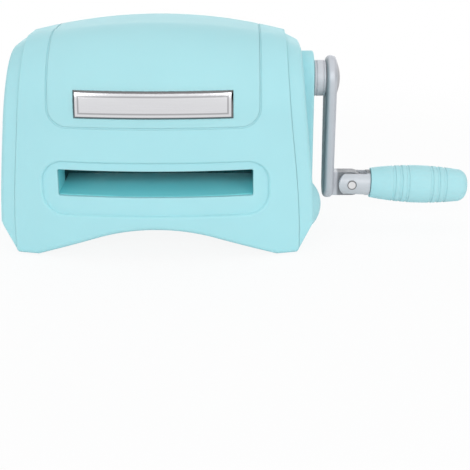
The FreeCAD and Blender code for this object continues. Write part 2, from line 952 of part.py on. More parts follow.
def gear_outline(teeth, module, tooth_deg):
    """Corner points of a spur gear in the YZ plane with one tooth centred at tooth_deg."""
    pitch = module * teeth / 2
    base = pitch * math.cos(math.radians(pressure_angle_deg))
    root = pitch - dedendum_factor * module
    tip = pitch + module
    half_tooth = (math.pi * module / 2 - tooth_thinning) / (2 * pitch)
    start = half_tooth + involute_point(base, pitch)
    low = max(base, root)
    radii = [low + (tip - low) * i / (flank_points - 1) for i in range(flank_points)]
    flank = [(r, start - involute_point(base, r)) for r in radii]
    if root < base:
        flank.insert(0, (root, start))
    points = []
    for tooth in range(teeth):
        middle = math.radians(tooth_deg) + 2 * math.pi * tooth / teeth
        points += [(r, middle - a) for r, a in flank]
        points += [(r, middle + a) for r, a in reversed(flank)]
    return [(r * math.cos(a), r * math.sin(a)) for r, a in points]


def d_bore(radius, x0, x1, z):
    """A shaft or bore along X at height z with a flat on its upper side."""
    flat = radius - shaft_flat
    return rod_x(radius, x0, x1, 0, z).cut(box(x0, x1, -radius, radius, z + flat, z + radius))


def gear(teeth, module, tooth_deg, x0, x1, z, bore):
    points = [(y, z + height) for y, height in gear_outline(teeth, module, tooth_deg)]
    blank = prism_yz(points, x0, x1)
    return blank.cut(d_bore(bore + slip_fit, x0 - cut_past, x1 + cut_past, z))


def gap_below(teeth):
    """The tooth angle that puts a gap straight below the gear's axis."""
    return 180 / teeth - tooth_above


def upper_sync_gear():
    tooth_deg = gap_below(sync_teeth)
    return gear(sync_teeth, sync_module, tooth_deg, gear_start, sync_end, upper_axis, journal_radius)


def lower_sync_gear():
    return gear(sync_teeth, sync_module, tooth_above, gear_start, sync_end, lower_axis, journal_radius)


def drive_gear():
    disc = gear(drive_teeth, drive_module, tooth_above, drive_start, drive_end, upper_axis, journal_radius)
    hub = rod_x(drive_hub_radius, sync_end + seat_gap, drive_start, 0, upper_axis)
    bore = d_bore(journal_radius + slip_fit, sync_end, drive_end, upper_axis)
    return disc.fuse(hub.cut(bore)).removeSplitter()


def drive_pinion():
    tooth_deg = gap_below(pinion_teeth)
    bore = crank_shaft_radius
    return gear(pinion_teeth, drive_module, tooth_deg, pinion_start, pinion_end, crank_axis, bore)


# Rollers, shaft and clips
def clip_groove(x, radius, z):
    """The groove that a clip at x snaps into."""
    floor = radius - clip_groove_depth
    return tube_x(radius + cut_past, floor, x - slip_fit, x + clip_thickness + slip_fit, 0, z)


def clip(x, radius, z):
    """An open spring ring in the groove at x."""
    inner = radius - clip_groove_depth + slip_fit
    ring = tube_x(clip_outer_radius, inner, x, x + clip_thickness, 0, z)
    half = clip_mouth / 2
    mouth = box(x, x + clip_thickness, -half, half, z - clip_outer_radius, z)
    return ring.cut(mouth)


def left_clip_x():
    return -(frame_outer + bush_flange + side_play + clip_thickness)


def roller(z, last_gear_end):
    clip_right = last_gear_end + side_play
    right_end = clip_right + clip_thickness + journal_end
    left_end = left_clip_x() - journal_end
    body = rod_x(roller_radius, -roller_half, roller_half, 0, z)
    body = body.fuse(rod_x(journal_radius, left_end, gear_start - side_play / 2, 0, z))
    body = body.fuse(d_bore(journal_radius, gear_start - side_play / 2, right_end, z))
    body = body.cut([clip_groove(x, journal_radius, z) for x in (left_clip_x(), clip_right)])
    return body.removeSplitter()


def roller_clips(z, last_gear_end):
    places = (left_clip_x(), last_gear_end + side_play)
    return Part.makeCompound([clip(x, journal_radius, z) for x in places])


def upper_roller():
    return roller(upper_axis, drive_end)


def lower_roller():
    return roller(lower_axis, sync_end)


def upper_roller_clips():
    return roller_clips(upper_axis, drive_end)


def lower_roller_clips():
    return roller_clips(lower_axis, sync_end)


def crank_clip_places():
    return (frame_inner - side_play - clip_thickness, pinion_end + side_play)


def arm_pocket_floor():
    return arm_end - arm_pocket_depth - crank_cap_seat


def crank_shaft():
    start = crank_clip_places()[0] - journal_end
    collar_end = pinion_start - seat_gap
    shaft = rod_x(crank_shaft_radius, start, gear_start, 0, crank_axis)
    shaft = shaft.fuse(rod_x(shaft_collar_radius, gear_start, collar_end, 0, crank_axis))
    shaft = shaft.fuse(d_bore(crank_shaft_radius, collar_end, pinion_end + journal_end, crank_axis))
    shaft = shaft.fuse(rod_x(crank_shaft_radius, pinion_end + journal_end, arm_start, 0, crank_axis))
    shaft = shaft.fuse(d_bore(crank_shaft_radius, arm_start, arm_pocket_floor() - seat_gap, crank_axis))
    shaft = shaft.cut([clip_groove(x, crank_shaft_radius, crank_axis) for x in crank_clip_places()])
    tapped = rod_x(screw_radius + slip_fit, arm_start - thread_length, far, 0, crank_axis)
    return shaft.cut(tapped).removeSplitter()


def crank_clips():
    return Part.makeCompound([clip(x, crank_shaft_radius, crank_axis) for x in crank_clip_places()])


# Crank
def crank_hub():
    hub = tube_x(hub_radius, crank_shaft_radius + slip_fit, hub_start, arm_start - seat_gap, 0, crank_axis)
    for x in (hub_start + 2 * hub_ring_width, arm_start - seat_gap - 3 * hub_ring_width):
        floor = hub_radius - hub_ring_depth
        hub = hub.cut(tube_x(hub_radius + cut_past, floor, x, x + hub_ring_width, 0, crank_axis))
    return hub


def arm_bar():
    """The arm: a head and a tail joined by their common tangents, with soft edges."""
    lean = math.asin((arm_head_radius - arm_tail_radius) / crank_radius)

    def on_circle(radius, z, angle):
        return Vector(arm_start, radius * math.cos(angle), z + radius * math.sin(angle))

    head_right = on_circle(arm_head_radius, crank_axis, -lean)
    head_left = on_circle(arm_head_radius, crank_axis, math.pi + lean)
    tail_right = on_circle(arm_tail_radius, handle_axis, -lean)
    tail_left = on_circle(arm_tail_radius, handle_axis, math.pi + lean)
    edges = [
        arc(head_right, on_circle(arm_head_radius, crank_axis, math.pi / 2), head_left),
        line(head_left, tail_left),
        arc(tail_left, on_circle(arm_tail_radius, handle_axis, -math.pi / 2), tail_right),
        line(tail_right, head_right),
    ]
    bar = prism(edges, Vector(arm_thickness, 0, 0))
    rims = [e for e in bar.Edges if e.BoundBox.XLength < touch]
    return bar.makeFillet(arm_edge_radius, rims)


def crank_arm():
    arm = arm_bar()
    half = lug_thickness / 2
    root = arm_end - arm_thickness / 2
    lug = box(root, pin_x, -half, half, handle_axis - lug_radius, handle_axis + lug_radius)
    lug = lug.fuse(rod_y(lug_radius, -half, half, pin_x, handle_axis))
    arm = arm.fuse(lug).removeSplitter()
    arm = arm.cut(rod_y(pin_radius + running_fit, -half - cut_past, half + cut_past, pin_x, handle_axis))
    floor = arm_pocket_floor()
    arm = arm.cut(d_bore(crank_shaft_radius + slip_fit, arm_start - cut_past, floor, crank_axis))
    arm = arm.cut(rod_x(screw_head_radius + screw_clearance, floor - seat_gap, far, 0, crank_axis))
    return arm.cut(rod_x(crank_cap_radius + slip_fit, arm_end - crank_cap_seat, far, 0, crank_axis))


def crank_screw():
    seat = arm_pocket_floor()
    tip = arm_start - thread_length + tip_gap
    return screw_x(screw_radius, screw_head_radius, screw_head_height, tip, seat, 0, crank_axis)


def crank_cap():
    base = arm_end - crank_cap_seat + seat_gap
    apex = arm_end + crank_cap_height
    rise = crank_cap_height
    ball_radius = (crank_cap_radius ** 2 + rise ** 2) / (2 * rise)
    ball = Part.makeSphere(ball_radius, Vector(apex - ball_radius, 0, crank_axis))
    return ball.common(rod_x(crank_cap_radius, base, far, 0, crank_axis))


# Handle
def drooped(shape):
    """Turns a piece of the handle down about the hinge pin, to where it rests."""
    shape.rotate(Vector(pin_x, 0, handle_axis), Vector(0, 1, 0), handle_droop_deg)
    return shape


def handle_fork():
    start = pin_x - fork_radius
    body = rod_x(fork_radius, start, fork_end, 0, handle_axis)
    reach = rod_y(fork_radius, -deep, deep, pin_x, handle_axis)
    low = handle_axis - fork_radius
    top = handle_axis + fork_radius
    reach = reach.fuse(box(pin_x, fork_end, -deep, deep, low, top))
    body = body.common(reach)
    half_slot = lug_thickness / 2 + lug_side_gap
    slot_end = fork_end - fork_web
    body = body.cut(box(start, slot_end, -half_slot, half_slot, handle_axis - deep, handle_axis + deep))
    body = body.cut(rod_y(pin_radius + slip_fit, -deep, deep, pin_x, handle_axis))
    body = body.fuse(rod_x(spigot_radius, fork_end - fork_web / 2, fork_end + spigot_length, 0, handle_axis))
    body = body.cut(rod_x(spindle_radius + slip_fit, fork_end, grip_tip, 0, handle_axis))
    return drooped(body.removeSplitter())


def hinge_pin():
    reach = fork_radius - pin_recess
    return rod_y(pin_radius, -reach, reach, pin_x, handle_axis)


def grip_spindle():
    rod = rod_x(spindle_radius, fork_end + seat_gap, spindle_tip, 0, handle_axis)
    head = rod_x(spindle_head_radius, spindle_tip - spindle_head_length, spindle_tip, 0, handle_axis)
    return drooped(rod.fuse(head).removeSplitter())


def groove_places():
    return [
        grip_start + first + grip_groove_pitch * i
        for first in (first_groove, second_groove)
        for i in range(grooves_per_group)
    ]


def grip_barrel(inset):
    """The grip's form, moved inwards by inset: a barrel swelling to its widest place, with a rounded tip."""
    tip_start = grip_tip - grip_tip_round
    root = Vector(grip_start, 0, grip_end_radius - inset)
    widest = Vector(grip_start + grip_widest, 0, grip_radius - inset)
    shoulder = Vector(tip_start, 0, grip_tip_radius - inset)
    tip = Vector(grip_tip, 0, grip_tip_flat - inset)
    swell = Part.BSplineCurve()
    swell.interpolate([root, widest, shoulder])
    diagonal = math.sqrt(0.5)
    round_x = tip_start + grip_tip_round * diagonal
    round_z = tip.z + (shoulder.z - tip.z) * diagonal
    foot = Vector(grip_start, 0, 0)
    nose = Vector(grip_tip, 0, 0)
    edges = [
        line(foot, root),
        swell.toShape(),
        arc(shoulder, Vector(round_x, 0, round_z), tip),
        line(tip, nose),
        line(nose, foot),
    ]
    barrel = Part.Face(Part.Wire(edges)).revolve(Vector(0, 0, 0), Vector(1, 0, 0), 360)
    barrel.translate(Vector(0, 0, handle_axis))
    return barrel


def grip():
    core = grip_barrel(grip_groove_depth)
    rings = []
    for x in groove_places():
        slab = rod_x(grip_radius + cut_past, x, x + grip_groove_width, 0, handle_axis)
        rings.append(slab.cut(core))
    head_start = spindle_tip - spindle_head_length - grip_gap
    spigot_end = fork_end + spigot_length + grip_gap
    bores = [
        rod_x(spigot_radius + grip_fit, grip_start - cut_past, spigot_end, 0, handle_axis),
        rod_x(spindle_radius + grip_fit, grip_start, spindle_tip, 0, handle_axis),
        rod_x(spindle_head_radius + grip_gap, head_start, spindle_tip + grip_gap, 0, handle_axis),
    ]
    return drooped(grip_barrel(0).cut(rings + bores))


pieces = {
    "main_shell": main_shell,
    "rear_shell": rear_shell,
    "hood_panel": hood_panel,
    "nameplate": nameplate,
    "left_end_cap": left_end_cap,
    "right_end_cap": right_end_cap,
    "crank_housing": crank_housing,
    "side_dome": side_dome,
    "base_plate": base_plate,
    "rubber_feet": rubber_feet,
    "front_feed_throat": front_feed_throat,
    "rear_feed_throat": lambda: half_turn(front_feed_throat()),
    "left_frame_plate": left_frame_plate,
    "right_frame_plate": right_frame_plate,
    "tie_rods": tie_rods,
    "roller_bushes": roller_bushes,
    "crank_bushes": crank_bushes,
    "cap_screws": cap_screws,
    "base_screws": base_screws,
    "housing_screws": housing_screws,
    "upper_roller": upper_roller,
    "upper_sync_gear": upper_sync_gear,
    "drive_gear": drive_gear,
    "upper_roller_clips": upper_roller_clips,
    "lower_roller": lower_roller,
    "lower_sync_gear": lower_sync_gear,
    "lower_roller_clips": lower_roller_clips,
    "crank_shaft": crank_shaft,
    "drive_pinion": drive_pinion,
    "crank_clips": crank_clips,
    "crank_hub": crank_hub,
    "crank_arm": crank_arm,
    "crank_screw": crank_screw,
    "crank_cap": crank_cap,
    "handle_fork": handle_fork,
    "hinge_pin": hinge_pin,
    "grip_spindle": grip_spindle,
    "grip": grip,
}

os.makedirs("parts", exist_ok=True)
for name, make in pieces.items():
    shape = make()
    shape.translate(Vector(centre_shift, 0, 0))
    shape.exportStep("parts/" + name + ".step")
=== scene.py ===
import math
from types import SimpleNamespace

import bpy
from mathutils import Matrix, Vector


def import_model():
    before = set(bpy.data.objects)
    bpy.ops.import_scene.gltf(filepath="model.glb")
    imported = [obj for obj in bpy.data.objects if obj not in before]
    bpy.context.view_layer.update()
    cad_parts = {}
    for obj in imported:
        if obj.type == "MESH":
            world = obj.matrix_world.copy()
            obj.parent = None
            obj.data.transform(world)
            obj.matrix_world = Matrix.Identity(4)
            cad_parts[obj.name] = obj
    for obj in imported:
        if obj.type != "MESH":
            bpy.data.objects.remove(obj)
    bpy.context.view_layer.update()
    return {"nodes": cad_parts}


# A hand-cranked die cutting machine, dressed for a plain studio picture.
# Metres, in the frame of the solids: +Z up, +X along the rollers towards the crank, -Y the front.

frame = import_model()
nodes = frame["nodes"]

# Camera
photo_width = 470.0
focal_pixels = 1039.84
sensor_width = 36.0
camera_place = (-0.00322, -0.59887, 0.20583)
camera_pitch_deg = 19.383

# Colours, as linear red, green and blue
aqua = (0.435, 0.77, 0.82)
grip_aqua = (0.45, 0.765, 0.81)
# The feed throats' aqua is the casing's with less red, painted in for the tint that light takes on bouncing
# inside the slot.
throat_aqua_painted_bounce = (0.27, 0.80, 0.85)
# The rollers' coat colour is painted shade: dark teal, for the teal shade deep inside the feed slot.
roller_teal_painted_shade = (0.13, 0.44, 0.48)
arm_grey = (0.55, 0.57, 0.61)
hub_grey = (0.64, 0.64, 0.675)
cap_grey = (0.44, 0.445, 0.465)
fork_grey = (0.60, 0.615, 0.65)
plate_silver = (0.70, 0.70, 0.72)
steel_grey = (0.52, 0.53, 0.55)
pin_grey = (0.75, 0.75, 0.76)
brass_yellow = (0.62, 0.42, 0.16)
rubber_black = (0.03, 0.035, 0.037)
floor_white = (0.93, 0.93, 0.93)
floor_grey = (0.86, 0.87, 0.87)
card_black = (0.015, 0.016, 0.018)
ambient_tint = (0.98, 0.99, 1.0)
backdrop_white = (1.0, 1.0, 1.0)

# Finishes. Scales count noise cells per metre, shades multiply the colour, and heights and radii are lengths.
# Roughness runs from the glossiest spots to the dullest.
plastic = SimpleNamespace(
    cloud_scale=22.0, cloud_shades=(0.985, 1.012),
    edge_radius=0.0007, edge_gain=0.6, edge_shade=1.06,
    gloss_scale=180.0,
    grain_scale=2600.0, grain_detail=3.0, grain_height=0.00004, grain_strength=0.25,
)
paint = SimpleNamespace(
    cloud_scale=60.0, cloud_shades=(0.96, 1.03),
    edge_radius=0.0006, edge_gain=1.2, edge_shade=1.25,
    gloss_scale=240.0,
    grain_scale=900.0, grain_detail=2.0, grain_height=0.00006, grain_strength=0.2,
)
metal = SimpleNamespace(
    line_detail=5.0, line_height=0.00003, gloss_shares=(0.8, 1.25),
    edge_radius=0.0004, edge_gain=1.0, edge_shade=1.2,
)
roller_coat = SimpleNamespace(
    band_scale=(900.0, 4.0, 4.0), band_detail=3.0, band_shades=(0.9, 1.1), roughness=(0.38, 0.52),
    edge_radius=0.0005, edge_gain=0.5,
    grain_scale=2200.0, grain_detail=3.0, grain_height=0.00004, grain_strength=0.3,
)
foot_rubber = SimpleNamespace(
    dust_scale=140.0, dust_shades=(0.85, 1.5), roughness=(0.7, 0.9),
    edge_radius=0.0005, edge_gain=0.5,
    grain_scale=1800.0, grain_detail=3.0, grain_height=0.00008, grain_strength=0.5,
)
paper = SimpleNamespace(scale=90.0, detail=4.0, shades=(0.995, 1.005), roughness=0.9, specular=0.1)
card_cloth = SimpleNamespace(scale=200.0, detail=3.0, shades=(0.8, 1.2), roughness=1.0, specular=0.0)
plain_detail = 2.0
fine_detail = 4.0
noise_low = 0.3
noise_high = 0.7
bevel_samples = 6
evenly = (1.0, 1.0, 1.0)

# Cells per metre along X, Y and Z, for the lines that tools leave in metal
plate_lines = (60.0, 60.0, 4000.0)
pin_lines = (60.0, 3000.0, 60.0)
turned_lines = (5000.0, 60.0, 60.0)
sheet_lines = (60.0, 2500.0, 60.0)
bush_lines = (2500.0, 60.0, 60.0)

# How the plastic bends, mirrors and scatters light, and how rough the satin surfaces are
plastic_ior = 1.46
plastic_specular = 0.08
scatter_share = 0.2
scatter_depth = 0.002
scatter_reach = (0.7, 1.0, 1.0)
satin = (0.46, 0.55)
throat_satin = (0.38, 0.47)
enamel_satin = (0.42, 0.54)

# Painted shade on the plate's lines, the pin's ring, the hinge lug, the arm's inner side and the fork's top.
# Painted shade: lengths over which it starts and ends, and the share of the colour that it leaves.
# The ring on the pin starts and ends at shares of the pin's radius.
plate_line = 0.0009
line_blur = 0.00045
plate_bevel = 0.0022
plate_rim_painted_shade = 0.22
bevel_line_painted_shade = 0.6
pin_ring = (0.72, 0.9)
pin_ring_painted_shade = 0.25
shade_fade = 0.0016
lug_clear = 0.00224
lug_painted_shade = 0.4
inner_shade_width = 0.0022
inner_side_painted_shade = 0.45
fork_top_painted_shade = 0.4

# Floor, with the distances between which it fades into the backdrop, the light from all round,
# and the point that lamps and cards face
floor_size = 4.0
floor_near = 0.25
floor_far = 0.55
floor_glow = 0.9
ambient_light = 0.62
lamp_target = (-0.03, 0.0, 0.06)


# Material helpers
def add(tree, kind, **settings):
    """A new node of that kind, with its attributes or input values set by name."""
    node = tree.nodes.new(kind)
    for name, value in settings.items():
        if hasattr(node, name):
            setattr(node, name, value)
        else:
            node.inputs[name.replace("_", " ")].default_value = value
    return node


def new_material(name):
    """A new material, its tree and its shader."""
    material = bpy.data.materials.new(name)
    material.use_nodes = True
    shader = material.node_tree.nodes["Principled BSDF"]
    return material, material.node_tree, shader


def rgba(color, shade=1.0):
    """A colour times its shade, up to white, with full alpha."""
    return tuple(min(c * shade, 1.0) for c in color) + (1.0,)


def place(tree, scale):
    """Object coordinates stretched by scale along each axis."""
    source = add(tree, "ShaderNodeTexCoord")
    mapping = add(tree, "ShaderNodeMapping")
    mapping.inputs["Scale"].default_value = scale
    tree.links.new(source.outputs["Object"], mapping.inputs["Vector"])
    return mapping.outputs["Vector"]


def noise(tree, vector, scale, detail=plain_detail):
    """A noise value from 0 to 1, mostly near the middle."""
    node = add(tree, "ShaderNodeTexNoise", Scale=scale, Detail=detail)
    tree.links.new(vector, node.inputs["Vector"])
    return node.outputs["Fac"]


def spread(tree, value, low, high):
    """Maps a noise value to the range from low to high."""
    node = add(tree, "ShaderNodeMapRange")
    node.inputs["From Min"].default_value = noise_low
    node.inputs["From Max"].default_value = noise_high
    node.inputs["To Min"].default_value = low
    node.inputs["To Max"].default_value = high
    tree.links.new(value, node.inputs["Value"])
    return node.outputs["Result"]


def blend(tree, factor, first, second):
    """A colour between two, each a fixed colour or the output of a node."""
    node = add(tree, "ShaderNodeMix", data_type="RGBA")
    tree.links.new(factor, node.inputs["Factor"])
    for name, value in (("A", first), ("B", second)):
        socket = [s for s in node.inputs if s.name == name and s.type == "RGBA"][0]
        if isinstance(value, tuple):
            socket.default_value = value
        else:
            tree.links.new(value, socket)
    return [s for s in node.outputs if s.type == "RGBA"][0]


def shaded(tree, value, color, shades):
    """A noise value turned into shades of a colour."""
    dark, pale = shades
    return blend(tree, spread(tree, value, 0.0, 1.0), rgba(color, dark), rgba(color, pale))


def edge_mask(tree, radius, gain):
    """Bright along sharp edges, and the normal that rounds them."""
    bevel = add(tree, "ShaderNodeBevel", samples=bevel_samples)
    bevel.inputs["Radius"].default_value = radius
    plain = add(tree, "ShaderNodeNewGeometry")
    dot = add(tree, "ShaderNodeVectorMath", operation="DOT_PRODUCT")
    tree.links.new(bevel.outputs["Normal"], dot.inputs[0])
    tree.links.new(plain.outputs["Normal"], dot.inputs[1])
    turn = add(tree, "ShaderNodeMath", operation="SUBTRACT")
    turn.inputs[0].default_value = 1.0
    tree.links.new(dot.outputs["Value"], turn.inputs[1])
    mask = add(tree, "ShaderNodeMath", operation="MULTIPLY", use_clamp=True)
    mask.inputs[1].default_value = gain
    tree.links.new(turn.outputs["Value"], mask.inputs[0])
    return mask.outputs["Value"], bevel.outputs["Normal"]


def bump(tree, height, normal, distance, strength):
    """The normal, tilted by a height."""
    node = add(tree, "ShaderNodeBump")
    node.inputs["Distance"].default_value = distance
    node.inputs["Strength"].default_value = strength
    tree.links.new(height, node.inputs["Height"])
    tree.links.new(normal, node.inputs["Normal"])
    return node.outputs["Normal"]


def grained(tree, shader, spot, rounded, finish):
    """Sets a fine grain on the rounded normal, and gives the grain back."""
    grain = noise(tree, spot, finish.grain_scale, finish.grain_detail)
    rough_normal = bump(tree, grain, rounded, finish.grain_height, finish.grain_strength)
    tree.links.new(rough_normal, shader.inputs["Normal"])
    return grain


# Materials
def rubbed_surface(name, color, roughness, finish):
    """A faint cloudiness, edges rubbed paler, uneven gloss and a fine grain."""
    material, tree, shader = new_material(name)
    spot = place(tree, evenly)
    tint = shaded(tree, noise(tree, spot, finish.cloud_scale), color, finish.cloud_shades)
    rubbed, rounded = edge_mask(tree, finish.edge_radius, finish.edge_gain)
    tree.links.new(blend(tree, rubbed, tint, rgba(color, finish.edge_shade)), shader.inputs["Base Color"])
    gloss = spread(tree, noise(tree, spot, finish.gloss_scale, fine_detail), *roughness)
    tree.links.new(gloss, shader.inputs["Roughness"])
    grained(tree, shader, spot, rounded, finish)
    return material, shader


def moulded_plastic(name, color, roughness):
    """Satin moulded plastic with a spark-eroded grain, into which light soaks a little."""
    material, shader = rubbed_surface(name, color, roughness, plastic)
    shader.inputs["IOR"].default_value = plastic_ior
    shader.inputs["Specular IOR Level"].default_value = plastic_specular
    shader.inputs["Subsurface Weight"].default_value = scatter_share
    shader.inputs["Subsurface Radius"].default_value = scatter_reach
    shader.inputs["Subsurface Scale"].default_value = scatter_depth
    return material


def enamel(name, color, metallic):
    """Grey baked enamel on metal, with a slight orange-peel surface and worn edges."""
    material, shader = rubbed_surface(name, color, enamel_satin, paint)
    shader.inputs["Metallic"].default_value = metallic
    return material


def coat(name, color, finish):
    """Satin coat on the rollers, polished a little in bands by the boards."""
    material, tree, shader = new_material(name)
    bands = noise(tree, place(tree, finish.band_scale), 1.0, finish.band_detail)
    tree.links.new(shaded(tree, bands, color, finish.band_shades), shader.inputs["Base Color"])
    tree.links.new(spread(tree, bands, *finish.roughness), shader.inputs["Roughness"])
    rounded = edge_mask(tree, finish.edge_radius, finish.edge_gain)[1]
    grained(tree, shader, place(tree, evenly), rounded, finish)
    return material


def worked_metal(name, color, line_scale, roughness, depth, contrast=0.1):
    """Bare metal with fine lines across the axis that line_scale stretches most."""
    material, tree, shader = new_material(name)
    lines = noise(tree, place(tree, line_scale), 1.0, metal.line_detail)
    tint = shaded(tree, lines, color, (1.0 - contrast, 1.0 + contrast / 2))
    worn, rounded = edge_mask(tree, metal.edge_radius, metal.edge_gain)
    tree.links.new(blend(tree, worn, tint, rgba(color, metal.edge_shade)), shader.inputs["Base Color"])
    glossiest, dullest = (roughness * share for share in metal.gloss_shares)
    tree.links.new(spread(tree, lines, glossiest, dullest), shader.inputs["Roughness"])
    tree.links.new(bump(tree, lines, rounded, metal.line_height, depth), shader.inputs["Normal"])
    shader.inputs["Metallic"].default_value = 1.0
    return material


def rubber(name, color, finish):
    """Matt rubber with a little dust in its grain."""
    material, tree, shader = new_material(name)
    spot = place(tree, evenly)
    dust = noise(tree, spot, finish.dust_scale, fine_detail)
    tree.links.new(shaded(tree, dust, color, finish.dust_shades), shader.inputs["Base Color"])
    rounded = edge_mask(tree, finish.edge_radius, finish.edge_gain)[1]
    grain = grained(tree, shader, spot, rounded, finish)
    tree.links.new(spread(tree, grain, *finish.roughness), shader.inputs["Roughness"])
    return material


# Painted shade
def node_box(name):
    """The lowest and highest corner of a solid, in its own coordinates."""
    corners = [Vector(corner) for corner in nodes[name].bound_box]
    low = Vector([min(corner[axis] for corner in corners) for axis in range(3)])
    high = Vector([max(corner[axis] for corner in corners) for axis in range(3)])
    return low, high


def coordinate(tree, axis):
    """One object coordinate."""
    source = add(tree, "ShaderNodeTexCoord")
    parts = add(tree, "ShaderNodeSeparateXYZ")
    tree.links.new(source.outputs["Object"], parts.inputs["Vector"])
    return parts.outputs[axis]


def ramp(tree, value, start, end):
    """Rises from 0 at start to 1 at end, and falls where end is the lower of the two."""
    node = add(tree, "ShaderNodeMapRange", interpolation_type="SMOOTHSTEP")
    node.inputs["From Min"].default_value = min(start, end)
    node.inputs["From Max"].default_value = max(start, end)
    node.inputs["To Min"].default_value = 0.0 if start < end else 1.0
    node.inputs["To Max"].default_value = 1.0 if start < end else 0.0
    tree.links.new(value, node.inputs["Value"])
    return node.outputs["Result"]


def combine(tree, operation, first, second):
    """The result of a sum on two values."""
    node = add(tree, "ShaderNodeMath", operation=operation)
    tree.links.new(first, node.inputs[0])
    tree.links.new(second, node.inputs[1])
    return node.outputs["Value"]


def scaled(tree, value, factor, offset=0.0):
    """The value times the factor, plus the offset."""
    node = add(tree, "ShaderNodeMath", operation="MULTIPLY_ADD")
    tree.links.new(value, node.inputs[0])
    node.inputs[1].default_value = factor
    node.inputs[2].default_value = offset
    return node.outputs["Value"]


def darken_with_painted_shade(material, mask, left):
    """Paints shade into a material's colour, darkening it to the share that is left where the mask is set."""
    tree = material.node_tree
    shader = tree.nodes["Principled BSDF"]
    unshaded = shader.inputs["Base Color"].links[0].from_socket
    dark = add(tree, "ShaderNodeMix", data_type="RGBA", blend_type="MULTIPLY")
    sockets = [s for s in dark.inputs if s.type == "RGBA"]
    dark.inputs["Factor"].default_value = 1.0
    tree.links.new(unshaded, sockets[0])
    sockets[1].default_value = (left, left, left, 1.0)
    darkened = [s for s in dark.outputs if s.type == "RGBA"][0]
    tree.links.new(blend(tree, mask, unshaded, darkened), shader.inputs["Base Color"])


def inset(tree, name):
    """How far a point of a solid's front lies inside its outline."""
    low, high = node_box(name)
    along = coordinate(tree, "X")
    up = coordinate(tree, "Z")
    across = combine(tree, "MINIMUM", scaled(tree, along, 1.0, -low.x), scaled(tree, along, -1.0, high.x))
    upward = combine(tree, "MINIMUM", scaled(tree, up, 1.0, -low.z), scaled(tree, up, -1.0, high.z))
    return combine(tree, "MINIMUM", across, upward)


def off_axis(tree, name):
    """How far a point lies from the axis of a solid that runs along Y."""
    low, high = node_box(name)
    source = add(tree, "ShaderNodeTexCoord")
    off = add(tree, "ShaderNodeVectorMath", operation="SUBTRACT")
    off.inputs[1].default_value = (low + high) / 2
    flat = add(tree, "ShaderNodeVectorMath", operation="MULTIPLY")
    flat.inputs[1].default_value = (1.0, 0.0, 1.0)
    size = add(tree, "ShaderNodeVectorMath", operation="LENGTH")
    tree.links.new(source.outputs["Object"], off.inputs[0])
    tree.links.new(off.outputs["Vector"], flat.inputs[0])
    tree.links.new(flat.outputs["Vector"], size.inputs[0])
    return size.outputs["Value"]


def plate_metal():
    """Bright plate metal, with painted shade in a dark line round its rim and a fainter one where the bevel
    ends.
    """
    material = worked_metal(
        "plate_chrome", plate_silver, plate_lines, roughness=0.14, depth=0.03, contrast=0.025,
    )
    tree = material.node_tree
    inside = inset(tree, "nameplate")
    # Painted shade: a dark line round the plate's rim, and a fainter one where the bevel ends.
    darken_with_painted_shade(material, ramp(tree, inside, plate_line + line_blur, plate_line), plate_rim_painted_shade)
    begins = ramp(tree, inside, plate_bevel, plate_bevel + line_blur)
    line_end = plate_bevel + plate_line
    stops = ramp(tree, inside, line_end + line_blur, line_end)
    darken_with_painted_shade(material, combine(tree, "MULTIPLY", begins, stops), bevel_line_painted_shade)
    return material


def pin_metal():
    """Turned pin steel, with painted shade in a dark ring round its ends."""
    material = worked_metal("pin_steel", pin_grey, pin_lines, roughness=0.3, depth=0.12)
    tree = material.node_tree
    low, high = node_box("hinge_pin")
    radius = (high.x - low.x) / 2
    starts, full = (radius * share for share in pin_ring)
    # Painted shade: a dark ring round the pin's ends.
    darken_with_painted_shade(material, ramp(tree, off_axis(tree, "hinge_pin"), starts, full), pin_ring_painted_shade)
    return material


def arm_enamel():
    """The arm's enamel, with painted shade on the hinge lug beyond the arm and on the side towards the
    casing.
    """
    material = enamel("arm_enamel", arm_grey, metallic=0.35)
    tree = material.node_tree
    lug_start = node_box("crank_cap")[0].x + lug_clear
    # Painted shade on the hinge lug beyond the arm.
    darken_with_painted_shade(material, ramp(tree, coordinate(tree, "X"), lug_start, lug_start + shade_fade), lug_painted_shade)
    inner = node_box("crank_arm")[0].x
    # Painted shade on the arm's side towards the casing.
    darken_with_painted_shade(material, ramp(tree, coordinate(tree, "X"), inner + inner_shade_width, inner), inner_side_painted_shade)
    return material


def fork_enamel():
    """The fork's enamel, with painted shade along its upper side."""
    material = enamel("fork_enamel", fork_grey, metallic=0.15)
    tree = material.node_tree
    top = node_box("handle_fork")[1].z
    # Painted shade along the fork's upper side.
    mask = ramp(tree, coordinate(tree, "Z"), top - shade_fade, top - shade_fade / 2)
    darken_with_painted_shade(material, mask, fork_top_painted_shade)
    return material


def dress(material, *names):
    """Gives solids their material."""
    for name in names:
        mesh = nodes[name].data
        mesh.materials.clear()
        mesh.materials.append(material)


casing = moulded_plastic("aqua_plastic", aqua, satin)
dress(casing, "main_shell", "hood_panel", "left_end_cap", "right_end_cap", "crank_housing", "side_dome")
dress(casing, "rear_shell", "base_plate")
# The throats' colour holds painted bounce light: less red than the casing's.
throat = moulded_plastic("throat_plastic", throat_aqua_painted_bounce, throat_satin)
dress(throat, "front_feed_throat", "rear_feed_throat")
dress(moulded_plastic("grip_plastic", grip_aqua, satin), "grip")
dress(plate_metal(), "nameplate")
dress(enamel("hub_enamel", hub_grey, metallic=0.1), "crank_hub")
dress(enamel("cap_enamel", cap_grey, metallic=0.1), "crank_cap")
dress(fork_enamel(), "handle_fork")
dress(arm_enamel(), "crank_arm")
turned = worked_metal("turned_steel", steel_grey, turned_lines, roughness=0.28, depth=0.12)
dress(turned, "tie_rods", "crank_shaft", "grip_spindle")
